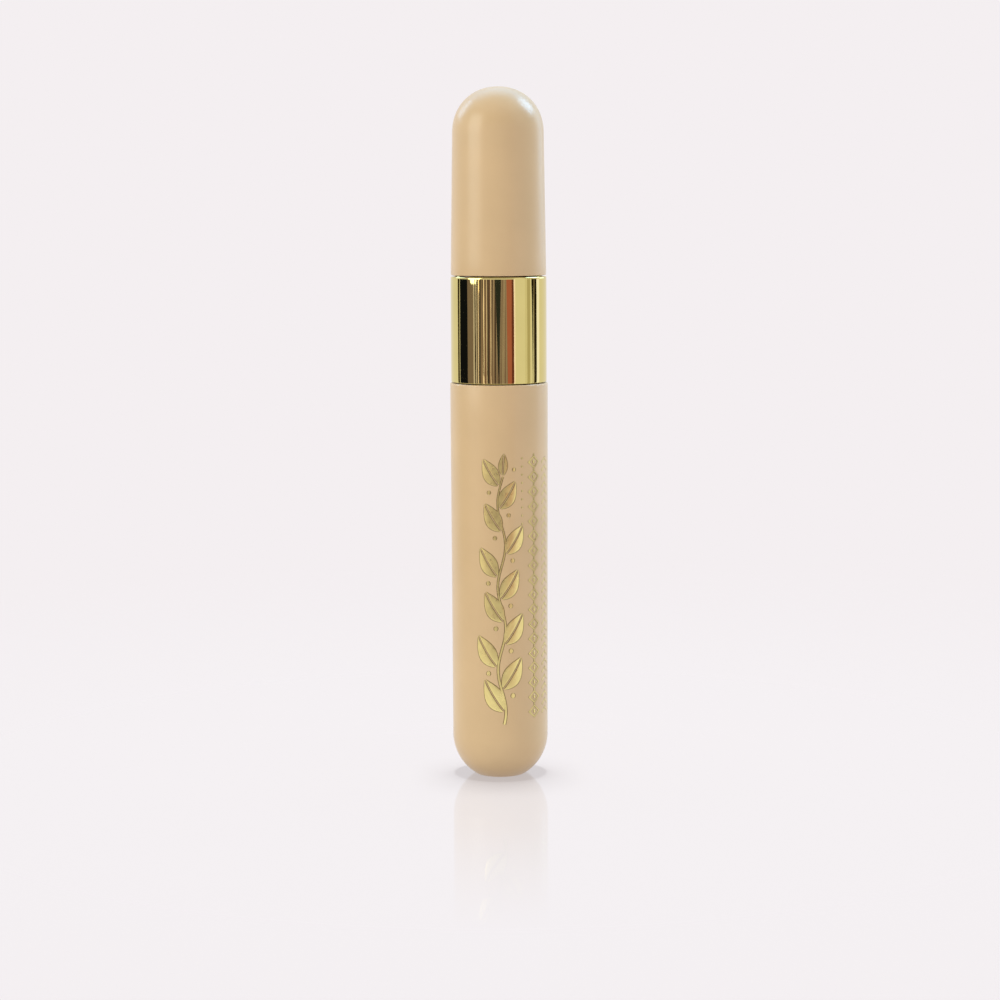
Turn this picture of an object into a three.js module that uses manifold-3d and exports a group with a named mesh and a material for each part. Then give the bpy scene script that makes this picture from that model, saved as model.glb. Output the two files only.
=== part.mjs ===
// A two-stage mascara: a bottle, a gold middle ring with a hollow outer stem, and a cap with the brush.
// Millimetres, +Z up, origin at the centre of the foot. The tube stands closed on its foot.
import * as THREE from "three";
import { mergeVertices } from "three/addons/utils/BufferGeometryUtils.js";
import Module from "manifold-3d";

const wasm = await Module();
wasm.setup();

// Driving dimensions of the outside.
const overallLength = 135.5;
const capLength = 36.6;
const ringLength = 20.8;
const ringRadius = 9.4;
const bottleTopRadius = 9.58;
const bottleLowRadius = 9.4;
const capRimRadius = 9.34;
const capDomeRadius = 8.92;
const capDomePower = 2.1; // 2 would be a round dome, more is squarer
const footRadius = 4.8;
const shellWall = 1.1;
const seam = 0.2; // gap between the visible parts
const fit = 0.2; // gap between pieces that touch in use

// Heights of the two visible seams and of what the threads pull together.
const capSeam = overallLength - capLength;
const bottleSeam = capSeam - ringLength;
const bottleTop = bottleSeam - seam / 2;
const ringBottom = bottleSeam + seam / 2;
const ringTop = capSeam - seam / 2;
const capBottom = capSeam + seam / 2;

// Bottle inside: a filled vial with a threaded neck, in the shell.
const baseCentre = Math.sqrt(bottleLowRadius ** 2 - footRadius ** 2);
const shellFloor = 1.5;
const labelRadius = 3.8;
const labelRecess = 0.4;
const vialRadius = 8.05;
const vialWall = 1.05;
const vialCentre = 10;
const shoulderRadius = 8.3;
const shoulderDepth = 1.5;
const neckRadius = 6.1;
const neckBore = 5;
const neckTop = bottleSeam + 12;
const pasteLevel = 50;

// Washers and wiper flange between a neck and the closure above it.
const flangeHeight = 0.6;
const sealHeight = 0.65;
const ringSealBottom = neckTop + flangeHeight + 1.75 * fit;
const ringWebBottom = ringSealBottom + sealHeight + fit;

// Middle ring: a gold sleeve on a core with a socket below and a threaded neck above.
const sleeveBore = 8.65;
const coreRadius = 8.4;
const coreInset = 0.2; // how far the core stays inside the sleeve's ends
const socketRadius = 7.2;
const webHeight = 2;
const ringWebTop = ringWebBottom + webHeight;
const ringNeckRadius = 5.5;
const ringNeckBore = 4.5;
const ringNeckTop = capSeam + 9;
const capSealBottom = ringNeckTop + fit;
const capWebBottom = capSealBottom + sealHeight + fit;

// Stems and brush.
const outerStemRadius = 2.85;
const outerStemBore = 2.4;
const stemHeadRadius = 4.2;
const stemHeadHeight = 2.6;
const noseTip = 38.2;
const noseLength = 2.8;
const spigotLength = 1.6;
const wandRadius = 2.1;
const wandTop = capSeam + 22.1;
const brushTip = 6.6;
const brushTop = 31.8;
const plugLength = 5.8;
const plugRadius = 1.05;
const brushTipRadius = 2.15;
const brushBelly = 2.6; // how much fuller the brush is in the middle than at its ends

// Cap inside.
const linerRadius = 7.8;
const linerInset = 1;
const linerBore = 6.6;
const bossRadius = 3.6;
const bossBore = 2.3;

// Threads: a round bead wound on each neck.
const threadPitch = 3;
const threadTurns = 1.25;
const bottleBead = 0.8;
const ringBead = 0.7;

// Roundness of the turned pieces.
const outerSides = 48;
const innerSides = 32;

function arc(centreZ, radius, fromDegrees, toDegrees, steps) {
  const points = [];
  for (let i = 0; i <= steps; i++) {
    const angle = THREE.MathUtils.degToRad(fromDegrees + ((toDegrees - fromDegrees) * i) / steps);
    points.push([radius * Math.cos(angle), centreZ + radius * Math.sin(angle)]);
  }
  return points;
}

// A quarter of a slightly squared circle, from the axis down to the side or back.
function domeCurve(centreZ, radius, fromDegrees, toDegrees, steps) {
  return arc(0, 1, fromDegrees, toDegrees, steps).map(([across, up]) => [
    radius * across ** (2 / capDomePower),
    centreZ + radius * up ** (2 / capDomePower),
  ]);
}

// A solid turned about Z from [radius, height] points, listed counter-clockwise.
function turned(points, sides) {
  const profile = points.map(([radius, height]) => new THREE.Vector2(Math.max(radius, 0), height));
  return new THREE.LatheGeometry(profile, sides).rotateX(Math.PI / 2);
}

// The same for a ring-shaped solid, whose outline closes on itself.
function turnedRing(points, sides) {
  return turned([...points, points[0]], sides);
}

function solidOf(geometry) {
  const bare = geometry.index ? geometry.toNonIndexed() : geometry.clone();
  bare.deleteAttribute("normal");
  bare.deleteAttribute("uv");
  const merged = mergeVertices(bare, 1e-3);
  return new wasm.Manifold(
    new wasm.Mesh({
      numProp: 3,
      vertProperties: merged.attributes.position.array,
      triVerts: new Uint32Array(merged.index.array),
    }),
  );
}

function joined(geometries) {
  const mesh = geometries.map(solidOf).reduce((all, next) => all.add(next)).getMesh();
  const geometry = new THREE.BufferGeometry();
  geometry.setAttribute("position", new THREE.BufferAttribute(mesh.vertProperties, 3));
  geometry.setIndex(new THREE.BufferAttribute(mesh.triVerts, 1));
  return geometry;
}

class Helix extends THREE.Curve {
  constructor(radius, startZ, pitch, turns) {
    super();
    Object.assign(this, { radius, startZ, pitch, turns });
  }

  getPoint(t, target = new THREE.Vector3()) {
    const angle = 2 * Math.PI * this.turns * t;
    const height = this.startZ + this.pitch * this.turns * t;
    return target.set(this.radius * Math.cos(angle), this.radius * Math.sin(angle), height);
  }
}

function threadBead(radius, bead, startZ) {
  const section = new THREE.Shape().absarc(0, 0, bead, 0, 2 * Math.PI);
  const path = new Helix(radius, startZ, threadPitch, threadTurns);
  return new THREE.ExtrudeGeometry(section, {
    extrudePath: path,
    steps: Math.round(16 * threadTurns),
    curveSegments: 4,
    bevelEnabled: false,
  });
}

function bottleShell() {
  const footAngle = -THREE.MathUtils.radToDeg(Math.acos(footRadius / bottleLowRadius));
  const innerLow = bottleLowRadius - shellWall;
  const floorAngle = -THREE.MathUtils.radToDeg(Math.asin((baseCentre - shellFloor) / innerLow));
  const lip = 0.3;
  return turned(
    [
      [0, labelRecess],
      [labelRadius + fit, labelRecess],
      [labelRadius + fit, 0],
      ...arc(baseCentre, bottleLowRadius, footAngle, 0, 7),
      [bottleTopRadius, bottleTop - lip],
      [bottleTopRadius - lip, bottleTop],
      [bottleTopRadius - shellWall, bottleTop],
      ...arc(baseCentre, innerLow, 0, floorAngle, 5),
      [0, shellFloor],
    ],
    outerSides,
  );
}

function baseLabel() {
  const thickness = 0.15;
  return new THREE.CylinderGeometry(labelRadius, labelRadius, thickness, innerSides)
    .rotateX(Math.PI / 2)
    .translate(0, 0, labelRecess - 0.05 - thickness / 2);
}

function vial() {
  const shoulderTop = bottleTop;
  const shoulderBottom = shoulderTop - shoulderDepth;
  const inner = vialRadius - vialWall;
  const body = turned(
    [
      ...arc(vialCentre, vialRadius, -90, 0, 6),
      [vialRadius, shoulderBottom],
      [shoulderRadius, shoulderBottom],
      [shoulderRadius, shoulderTop],
      [neckRadius, shoulderTop],
      [neckRadius, neckTop],
      [neckBore, neckTop],
      [neckBore, shoulderTop],
      [inner, shoulderBottom - vialWall],
      ...arc(vialCentre, inner, 0, -90, 5),
    ],
    innerSides,
  );
  return joined([body, threadBead(neckRadius, bottleBead, bottleSeam + 3.4)]);
}

function mainWiper() {
  const barrel = 4.75;
  const bore = 4.1;
  const lip = outerStemRadius + fit;
  const lipBottom = bottleSeam;
  const coneTop = lipBottom + 4;
  const flangeBottom = neckTop + 0.75 * fit;
  return turnedRing(
    [
      [lip, lipBottom],
      [lip + 0.5, lipBottom],
      [barrel, coneTop],
      [barrel, flangeBottom],
      [5.9, flangeBottom],
      [5.9, flangeBottom + flangeHeight],
      [bore, flangeBottom + flangeHeight],
      [bore, coneTop],
      [lip, lipBottom + 0.8],
    ],
    innerSides,
  );
}

// The cream keeps a hollow that follows the brush and the outer stem.
function mascaraPaste() {
  const outer = vialRadius - vialWall - 0.25;
  const hollow = brushTipRadius + brushBelly + 0.4;
  const throat = outerStemRadius + 0.4;
  const hollowTop = brushTop + 1.2;
  const throatBottom = hollowTop + 3;
  return turned(
    [
      ...arc(vialCentre, outer, -90, 0, 5),
      [outer, pasteLevel],
      [throat, pasteLevel],
      [throat, throatBottom],
      [hollow, hollowTop],
      [hollow, brushTip - 0.4],
      [0, brushTip - 0.4],
    ],
    innerSides,
  );
}

function washer(innerRadius, outerRadius, bottom) {
  return turnedRing(
    [
      [innerRadius, bottom],
      [outerRadius, bottom],
      [outerRadius, bottom + sealHeight],
      [innerRadius, bottom + sealHeight],
    ],
    innerSides,
  );
}

function goldRing() {
  const bevel = 0.35;
  return turnedRing(
    [
      [sleeveBore, ringBottom],
      [ringRadius - bevel, ringBottom],
      [ringRadius, ringBottom + bevel],
      [ringRadius, ringTop - bevel],
      [ringRadius - bevel, ringTop],
      [sleeveBore, ringTop],
    ],
    outerSides,
  );
}

function ringCore() {
  const bottom = ringBottom + coreInset;
  const top = ringTop - coreInset;
  const stemHole = outerStemRadius + 0.25;
  const body = turnedRing(
    [
      [socketRadius, bottom],
      [coreRadius, bottom],
      [coreRadius, top],
      [ringNeckRadius, top],
      [ringNeckRadius, ringNeckTop],
      [ringNeckBore, ringNeckTop],
      [ringNeckBore, ringWebTop],
      [stemHole, ringWebTop],
      [stemHole, ringWebBottom],
      [socketRadius, ringWebBottom],
    ],
    innerSides,
  );
  return joined([body, threadBead(ringNeckRadius, ringBead, capSeam + 2.4)]);
}

function outerStem() {
  const bottom = noseTip + noseLength + fit;
  const pocket = outerStemBore + 0.26;
  const pocketTop = bottom + spigotLength + fit;
  const headBottom = ringWebTop + fit;
  return turnedRing(
    [
      [pocket, bottom],
      [outerStemRadius, bottom],
      [outerStemRadius, headBottom],
      [stemHeadRadius, headBottom],
      [stemHeadRadius, headBottom + stemHeadHeight],
      [outerStemBore, headBottom + stemHeadHeight],
      [outerStemBore, pocketTop],
      [pocket, pocketTop],
    ],
    innerSides,
  );
}

// The bevelled wiper in the end of the outer stem.
function innerWiper() {
  const lip = wandRadius + fit;
  const shoulder = noseTip + noseLength;
  return turnedRing(
    [
      [lip, noseTip],
      [outerStemRadius - 0.3, noseTip],
      [outerStemRadius, noseTip + 0.8],
      [outerStemRadius, shoulder],
      [outerStemBore + 0.1, shoulder],
      [outerStemBore + 0.1, shoulder + spigotLength],
      [lip, shoulder + spigotLength],
    ],
    innerSides,
  );
}

function capShell() {
  const centre = overallLength - capDomeRadius;
  const lip = 0.2;
  return turned(
    [
      ...domeCurve(centre, capDomeRadius - shellWall, 90, 0, 6),
      [capRimRadius - shellWall, capBottom],
      [capRimRadius - lip, capBottom],
      [capRimRadius, capBottom + lip],
      ...domeCurve(centre, capDomeRadius, 0, 90, 8),
    ],
    outerSides,
  );
}

function capLiner() {
  const bottom = capBottom + linerInset;
  const webTop = capWebBottom + webHeight;
  return turnedRing(
    [
      [linerBore, bottom],
      [linerRadius, bottom],
      [linerRadius, webTop],
      [bossRadius, webTop],
      [bossRadius, wandTop + 0.3],
      [bossBore, wandTop + 0.3],
      [bossBore, capWebBottom],
      [linerBore, capWebBottom],
    ],
    innerSides,
  );
}

function wandStem() {
  const socket = plugRadius + fit;
  const bottom = brushTop + fit;
  const edge = 0.3;
  return turned(
    [
      [0, bottom + plugLength + fit],
      [socket, bottom + plugLength + fit],
      [socket, bottom],
      [wandRadius - edge, bottom],
      [wandRadius, bottom + edge],
      [wandRadius, wandTop - edge],
      [wandRadius - edge, wandTop],
      [0, wandTop],
    ],
    innerSides,
  );
}

// How far the spines reach at a share t of the way from the brush's tip to its top.
function spineReach(t) {
  return brushTipRadius + brushBelly * Math.sin(Math.PI * t) ** 0.85;
}

function spine(height, degrees, reach) {
  const root = 1;
  return new THREE.ConeGeometry(0.3, reach - root, 4)
    .rotateZ(-Math.PI / 2)
    .translate((reach + root) / 2, 0, 0)
    .rotateZ(THREE.MathUtils.degToRad(degrees))
    .translate(0, 0, height);
}

// A moulded brush: a slim core with rings of spines, and a plug that holds it in the wand.
function brush() {
  const core = 1.5;
  const neck = 1.9;
  const pieces = [
    turned(
      [
        [0, brushTip],
        [core - 0.5, brushTip],
        [core, brushTip + 0.8],
        [core, brushTop - 3],
        [neck, brushTop - 1.5],
        [neck, brushTop],
        [plugRadius, brushTop],
        [plugRadius, brushTop + plugLength],
        [0, brushTop + plugLength],
      ],
      12,
    ),
  ];
  const rings = 12;
  const perRing = 10;
  for (let ring = 0; ring < rings; ring++) {
    const t = (ring + 0.5) / rings;
    const height = THREE.MathUtils.lerp(brushTip, brushTop - 1, t);
    for (let i = 0; i < perRing; i++) {
      pieces.push(spine(height, (360 / perRing) * (i + (ring % 2) / 2), spineReach(t)));
    }
  }
  return joined(pieces);
}

const materials = {
  beige: { color: 0xd6b78c, roughness: 0.45, metalness: 0 },
  gold: { color: 0xd9bd6a, roughness: 0.08, metalness: 1 },
  black: { color: 0x0d0d0e, roughness: 0.3, metalness: 0 },
  natural: { color: 0xdedad2, roughness: 0.5, metalness: 0 },
  seal: { color: 0xc9c5bd, roughness: 0.7, metalness: 0 },
  bristle: { color: 0x0a0a0a, roughness: 0.5, metalness: 0 },
  paste: { color: 0x060606, roughness: 0.15, metalness: 0 },
  paper: { color: 0xf1ede4, roughness: 0.6, metalness: 0 },
};

function piece(name, geometry, finish) {
  const mesh = new THREE.Mesh(geometry, new THREE.MeshStandardMaterial(materials[finish]));
  mesh.name = name;
  return mesh;
}

function group(...children) {
  return new THREE.Group().add(...children);
}

const bottle = group(
  piece("bottle_shell", bottleShell(), "beige"),
  piece("base_label", baseLabel(), "paper"),
  piece("vial", vial(), "black"),
  piece("main_wiper", mainWiper(), "natural"),
  piece("mascara_paste", mascaraPaste(), "paste"),
);

const middleRing = group(
  piece("ring_seal", washer(3.4, 5.9, ringSealBottom), "seal"),
  piece("gold_ring", goldRing(), "gold"),
  piece("ring_core", ringCore(), "black"),
  piece("outer_stem", outerStem(), "black"),
  piece("inner_wiper", innerWiper(), "black"),
);

const cap = group(
  piece("cap_seal", washer(2.6, 5.4, capSealBottom), "seal"),
  piece("cap_shell", capShell(), "beige"),
  piece("cap_liner", capLiner(), "black"),
  piece("wand_stem", wandStem(), "black"),
  piece("brush", brush(), "bristle"),
);

export default group(bottle, middleRing, cap);
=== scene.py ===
"""Looks of a two-stage mascara: beige shells, a gold ring, nested black stems and a moulded brush.

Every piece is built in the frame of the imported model, in metres, and rides on one of its bodies.
"""

import random
from collections import namedtuple
from math import acos, asin, atan2, copysign, cos, degrees, pi, radians, sin, sqrt, tan

import bpy
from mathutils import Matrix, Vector, noise

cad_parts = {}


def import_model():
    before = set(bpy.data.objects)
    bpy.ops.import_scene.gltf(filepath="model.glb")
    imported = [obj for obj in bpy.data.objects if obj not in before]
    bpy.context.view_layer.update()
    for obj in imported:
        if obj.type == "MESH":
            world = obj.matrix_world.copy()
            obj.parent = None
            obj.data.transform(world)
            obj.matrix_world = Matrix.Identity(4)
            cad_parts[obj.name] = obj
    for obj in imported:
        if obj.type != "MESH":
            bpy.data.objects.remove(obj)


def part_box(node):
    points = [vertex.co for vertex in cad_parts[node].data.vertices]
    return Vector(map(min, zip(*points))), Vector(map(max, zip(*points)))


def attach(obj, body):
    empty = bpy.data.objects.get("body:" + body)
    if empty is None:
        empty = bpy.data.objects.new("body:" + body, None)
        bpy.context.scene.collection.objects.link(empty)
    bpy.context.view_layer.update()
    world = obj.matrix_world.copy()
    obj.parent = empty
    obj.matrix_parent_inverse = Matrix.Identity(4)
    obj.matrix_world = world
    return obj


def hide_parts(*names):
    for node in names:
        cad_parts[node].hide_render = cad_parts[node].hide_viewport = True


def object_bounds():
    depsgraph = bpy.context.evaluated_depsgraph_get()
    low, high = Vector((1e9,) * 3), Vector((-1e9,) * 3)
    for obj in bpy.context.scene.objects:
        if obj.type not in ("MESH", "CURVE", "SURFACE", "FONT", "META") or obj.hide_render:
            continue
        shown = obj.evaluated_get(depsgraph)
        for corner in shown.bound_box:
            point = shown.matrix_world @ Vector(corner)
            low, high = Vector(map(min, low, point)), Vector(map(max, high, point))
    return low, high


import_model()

cad_low, cad_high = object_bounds()

MM = 0.001
SIDES = 160
FINE_SIDES = 256
FILLET_STEPS = 5
AXIS = 1e-6  # a point closer to the axis than this is on it
SHARP_ANGLE = radians(38)

Extent = namedtuple("Extent", "radius bottom top")


def extent(node):
    """Outer radius, lowest and highest point of a CAD node that is turned about Z."""
    low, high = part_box(node)
    return Extent(high.x, low.z, high.z)


shell = extent("bottle_shell")
label = extent("base_label")
vial = extent("vial")
main_wiper = extent("main_wiper")
paste = extent("mascara_paste")
ring_seal = extent("ring_seal")
ring = extent("gold_ring")
core = extent("ring_core")
stem = extent("outer_stem")
nose = extent("inner_wiper")
cap_seal = extent("cap_seal")
cap = extent("cap_shell")
liner = extent("cap_liner")
wand = extent("wand_stem")
brush = extent("brush")

# Sizes that a node's box doesn't give.
WALL = 1.1 * MM
SHELL_LOW_RADIUS = 9.4 * MM
FOOT_RADIUS = 4.8 * MM
DOME_RADIUS = 8.92 * MM
DOME_POWER = 2.1  # 2 would be a round dome, more is squarer
BASE_CENTRE = sqrt(SHELL_LOW_RADIUS**2 - FOOT_RADIUS**2)
SHELL_FLOOR = 1.5 * MM
VIAL_RADIUS = 8.05 * MM
VIAL_WALL = 1.05 * MM
VIAL_CENTRE = 10 * MM
NECK_RADIUS = 6.1 * MM
NECK_BORE = 5 * MM
NECK_CREST = 6.85 * MM
SOCKET_RADIUS = 7.2 * MM
SLEEVE_BORE = 8.65 * MM
RING_NECK_RADIUS = 5.5 * MM
RING_NECK_BORE = 4.5 * MM
RING_NECK_CREST = 6.15 * MM
LINER_BORE = 6.6 * MM
BOSS_RADIUS = 3.6 * MM
BOSS_BORE = 2.3 * MM
STEM_RADIUS = 2.85 * MM
STEM_BORE = 2.4 * MM
WEB = 2 * MM
FIT = 0.2 * MM
THREAD_PITCH = 3 * MM
THREAD_TURNS = 1.25
RING_THREAD_RISE = 3.5 * MM  # from the top of the bottle's shell to the start of its thread
CAP_THREAD_RISE = 2.5 * MM  # from the top of the ring to the start of its thread
BRUSH_TOP = 31.8 * MM
BRUSH_END_REACH = 2.15 * MM
BRUSH_BELLY = 2.6 * MM


# Meshes ---------------


def spread(start, end, steps):
    """Evenly spread numbers from the start to the end."""
    return [start + (end - start) * i / steps for i in range(steps + 1)]


def at_angle(radius, angle, height):
    """The point that is that far from the axis, in that direction."""
    return Vector((radius * cos(angle), radius * sin(angle), height))


def arc(centre, radius, start, end, steps):
    """Points of an arc about a point on the axis, from one angle to another, in degrees."""
    angles = [radians(angle) for angle in spread(start, end, steps)]
    return [(radius * cos(a), centre + radius * sin(a)) for a in angles]


def dome_curve(centre, radius, start, end, steps):
    """A stretch of a slightly squared quarter circle, between two angles in degrees."""
    unit = arc(0, 1, start, end, steps)
    power = 2 / DOME_POWER
    return [(radius * max(x, 0) ** power, centre + radius * max(z, 0) ** power) for x, z in unit]


def rounded(before, here, after, fillet):
    """The points that replace a corner of an outline with an arc."""
    into = (before - here).normalized()
    out = (after - here).normalized()
    half = into.angle(out) / 2
    centre = here + (into + out).normalized() * fillet / sin(half)
    start = here + into * fillet / tan(half) - centre
    turn = pi - 2 * half
    if into.x * out.y - into.y * out.x > 0:
        turn = -turn
    first = atan2(start.y, start.x)
    angles = [first + turn * i / FILLET_STEPS for i in range(FILLET_STEPS + 1)]
    return [centre + fillet * Vector((cos(a), sin(a))) for a in angles]


def outline(*corners):
    """An outline of (radius, height) corners. A third number is the radius that rounds the corner."""
    points = []
    for i, corner in enumerate(corners):
        here = Vector(corner[:2])
        if len(corner) == 2:
            points.append(here)
            continue
        before = Vector(corners[i - 1][:2])
        after = Vector(corners[(i + 1) % len(corners)][:2])
        points += rounded(before, here, after, corner[2])
    return points


def ring_faces(first, rings, sides):
    """The faces between rings of points that follow one another from the first vertex on."""
    faces = []
    for start in range(first, first + rings * sides, sides):
        for i in range(sides):
            a, b = start + i, start + (i + 1) % sides
            faces.append((a, a + sides, b + sides, b))
    return faces


def in_scene(name, data):
    made = bpy.data.objects.new(name, data)
    bpy.context.scene.collection.objects.link(made)
    return made


def mesh_object(name, verts, faces):
    mesh = bpy.data.meshes.new(name)
    mesh.from_pydata(verts, [], faces)
    mesh.validate()
    mesh.shade_smooth()
    mesh.set_sharp_from_angle(angle=SHARP_ANGLE)
    return in_scene(name, mesh)


def turned(name, points, sides=SIDES, closed=False, relief=None):
    """A solid turned about Z. Its outline runs counter-clockwise, from the axis to the axis or closed.

    relief(angle, radius, height) gives how far the surface stands out there.
    """
    verts, faces, rings = [], [], []
    for radius, height in points:
        if radius < AXIS:
            rings.append([len(verts)])
            verts.append((0, 0, height))
            continue
        rings.append(range(len(verts), len(verts) + sides))
        for i in range(sides):
            angle = 2 * pi * i / sides
            reach = radius + (relief(angle, radius, height) if relief else 0)
            verts.append(at_angle(reach, angle, height))
    following = rings[1:] + rings[:1] if closed else rings[1:]
    for lower, upper in zip(rings, following):
        for i in range(sides):
            corners = (
                lower[i % len(lower)],
                lower[(i + 1) % sides % len(lower)],
                upper[(i + 1) % sides % len(upper)],
                upper[i % len(upper)],
            )
            face = tuple(dict.fromkeys(corners))
            if len(face) > 2:
                faces.append(face)
    return mesh_object(name, verts, faces)


def thread(name, root, crest, bottom, turns=THREAD_TURNS):
    """A helical ridge from the root to the crest radius, which runs out to nothing at both ends."""
    steps_per_turn, run_out = 72, 0.12
    root_half, crest_half = 0.75 * MM, 0.32 * MM
    sunk = root - copysign(0.1 * MM, crest - root)
    steps = round(turns * steps_per_turn)
    verts, faces = [], []
    for i in range(steps + 1):
        share = i / steps
        angle = 2 * pi * turns * share
        fade = min(1, share / run_out, (1 - share) / run_out)
        tip = sunk + (crest - sunk) * sin(fade * pi / 2)
        height = bottom + THREAD_PITCH * turns * share
        section = [(sunk, -root_half), (tip, -crest_half), (tip, crest_half), (sunk, root_half)]
        for radius, rise in section:
            verts.append(at_angle(radius, angle, height + rise))
    for i in range(steps):
        for k in range(4):
            following = (k + 1) % 4
            faces.append((4 * i + k, 4 * i + following, 4 * i + 4 + following, 4 * i + 4 + k))
    faces.append((3, 2, 1, 0))
    faces.append((4 * steps, 4 * steps + 1, 4 * steps + 2, 4 * steps + 3))
    if crest > root:
        faces = [face[::-1] for face in faces]
    return mesh_object(name, verts, faces)


def place(piece, material, body, slot, *nodes):
    """Gives a piece its material and its body, and hides the CAD nodes that it stands for. The slot is
    not used.
    """
    piece.data.materials.append(material)
    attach(piece, body)
    if nodes:
        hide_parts(*nodes)


# Materials ---------------


class Finish:
    """A material under way: its shader, and short calls for the textures that feed it."""

    def __init__(self, name, colour, roughness, metallic=0.0):
        self.material = bpy.data.materials.new(name)
        self.material.use_nodes = True
        self.tree = self.material.node_tree
        self.shader = self.tree.nodes["Principled BSDF"]
        self.uniform("Base Color", (*colour, 1))
        self.uniform("Roughness", roughness)
        self.uniform("Metallic", metallic)
        self.place = self.node("TexCoord").outputs["Object"]

    def node(self, kind):
        return self.tree.nodes.new("ShaderNode" + kind)

    def link(self, value, node, socket):
        self.tree.links.new(value, node.inputs[socket])

    def noise(self, per_mm, detail=2.0, stretch=(1, 1, 1)):
        """Noise with that many grains to a millimetre, drawn out where stretch is below 1."""
        mapping = self.node("Mapping")
        mapping.inputs["Scale"].default_value = [per_mm / MM * s for s in stretch]
        self.link(self.place, mapping, "Vector")
        texture = self.node("TexNoise")
        texture.inputs["Scale"].default_value = 1
        texture.inputs["Detail"].default_value = detail
        self.link(mapping.outputs["Vector"], texture, "Vector")
        return texture.outputs["Fac"]

    def height(self):
        """The height above the foot, in metres."""
        split = self.node("SeparateXYZ")
        self.link(self.place, split, "Vector")
        return split.outputs["Z"]

    def ranged(self, value, low, high, to_low, to_high):
        node = self.node("MapRange")
        for socket, number in zip(node.inputs[1:5], (low, high, to_low, to_high)):
            socket.default_value = number
        self.link(value, node, "Value")
        return node.outputs["Result"]

    def times(self, one, other):
        node = self.node("Math")
        node.operation = "MULTIPLY"
        self.link(one, node, 0)
        self.link(other, node, 1)
        return node.outputs["Value"]

    def colours(self, share, *stops):
        """A colour ramp of (position, colour) stops."""
        ramp = self.node("ValToRGB")
        elements = ramp.color_ramp.elements
        while len(elements) < len(stops):
            elements.new(0.5)
        for element, (position, colour) in zip(elements, stops):
            element.position = position
            element.color = (*colour, 1)
        self.link(share, ramp, "Fac")
        return ramp.outputs["Color"]

    def mixed(self, share, texture, colour):
        """A colour texture, with a plain colour over it by a share."""
        node = self.node("Mix")
        node.data_type = "RGBA"
        self.link(share, node, "Factor")
        self.link(texture, node, "A")
        node.inputs["B"].default_value = (*colour, 1)
        return node.outputs["Result"]

    def length(self, vector):
        node = self.node("VectorMath")
        node.operation = "LENGTH"
        self.link(vector, node, 0)
        return node.outputs["Value"]

    def uniform(self, socket, value):
        self.shader.inputs[socket].default_value = value

    def feed(self, socket, value):
        self.link(value, self.shader, socket)

    def roughness(self, texture, low, high, to_low, to_high):
        self.feed("Roughness", self.ranged(texture, low, high, to_low, to_high))

    def bumps(self, *layers):
        """Bump layers of (height texture, depth in metres, strength), the coarse ones first."""
        normal = None
        for texture, depth, strength in layers:
            bump = self.node("Bump")
            bump.inputs["Distance"].default_value = depth
            bump.inputs["Strength"].default_value = strength
            self.link(texture, bump, "Height")
            if normal:
                self.link(normal, bump, "Normal")
            normal = bump.outputs["Normal"]
        self.feed("Normal", normal)


def shade(colour, factor):
    return tuple(min(1, c * factor) for c in colour)


BEIGE = (0.65, 0.46, 0.245)
GOLD = (0.75, 0.655, 0.25)
FOIL_GOLD = (0.95, 0.81, 0.33)
# painted shade: the dark colour of the foil's bevels and sides, in place of what those edges reflect
FOIL_EDGE_SHADE = (0.2, 0.135, 0.05)
RUBBED = 0.35 * MM  # how far the rims of the lacquer are rubbed
BLACK = (0.008, 0.008, 0.0082)
PASTE_BLACK = (0.002, 0.002, 0.0021)


def beige_finish(name, rim, inward):
    """Satin soft-touch lacquer: fine pores, faint handling marks, and a rubbed rim.

    rim is the height of the open edge, and inward the distance from it to where the rubbing ends.
    """
    finish = Finish(name, BEIGE, 0.36)
    clouds = finish.noise(0.09, 3)
    tone = finish.colours(clouds, (0.3, shade(BEIGE, 0.965)), (0.72, shade(BEIGE, 1.035)))
    close = finish.ranged(finish.height(), rim + inward, rim, 0, 1)
    rubbed = finish.times(close, finish.ranged(finish.noise(2.5, 4), 0.45, 0.7, 0, 0.6))
    finish.feed("Base Color", finish.mixed(rubbed, tone, shade(BEIGE, 1.25)))
    marks = finish.noise(0.22, 5, (1, 1, 0.45))
    finish.roughness(marks, 0.3, 0.75, 0.29, 0.34)
    finish.uniform("Sheen Weight", 0.12)
    finish.uniform("Sheen Roughness", 0.4)
    finish.uniform("Sheen Tint", (0.85, 0.93, 1, 1))
    waves = finish.noise(0.35, 1)
    pores = finish.noise(7, 3)
    finish.bumps((waves, 0.012 * MM, 0.25), (pores, 0.004 * MM, 0.3))
    return finish.material


def gold_finish():
    """Mirror-bright anodised aluminium, with faint drawing lines, wipe marks and a soft waviness."""
    finish = Finish("gold_anodised", GOLD, 0.04, 1.0)
    clouds = finish.noise(0.15, 3)
    finish.feed("Base Color", finish.colours(clouds, (0.3, shade(GOLD, 0.95)), (0.7, GOLD)))
    wiped = finish.noise(0.4, 5, (1, 1, 0.3))
    finish.roughness(wiped, 0.35, 0.8, 0.02, 0.07)
    waviness = finish.noise(0.5, 2, (1, 1, 0.12))
    lines = finish.noise(9, 2, (1, 1, 0.02))
    finish.bumps((waviness, 0.02 * MM, 0.35), (lines, 0.002 * MM, 0.12))
    return finish.material


def foil_finish():
    """Hot-stamped foil: bright, slightly crinkled, paler where it was pressed harder."""
    finish = Finish("gold_foil", FOIL_GOLD, 0.34, 1.0)
    pressed = finish.noise(0.25, 3)
    tone = finish.colours(pressed, (0.3, shade(FOIL_GOLD, 0.88)), (0.7, shade(FOIL_GOLD, 1.08)))
    finish.feed("Base Color", tone)
    finish.roughness(finish.noise(1.2, 4), 0.3, 0.7, 0.26, 0.36)
    finish.bumps((finish.noise(1.5, 2), 0.004 * MM, 0.2))
    return finish.material


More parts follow.
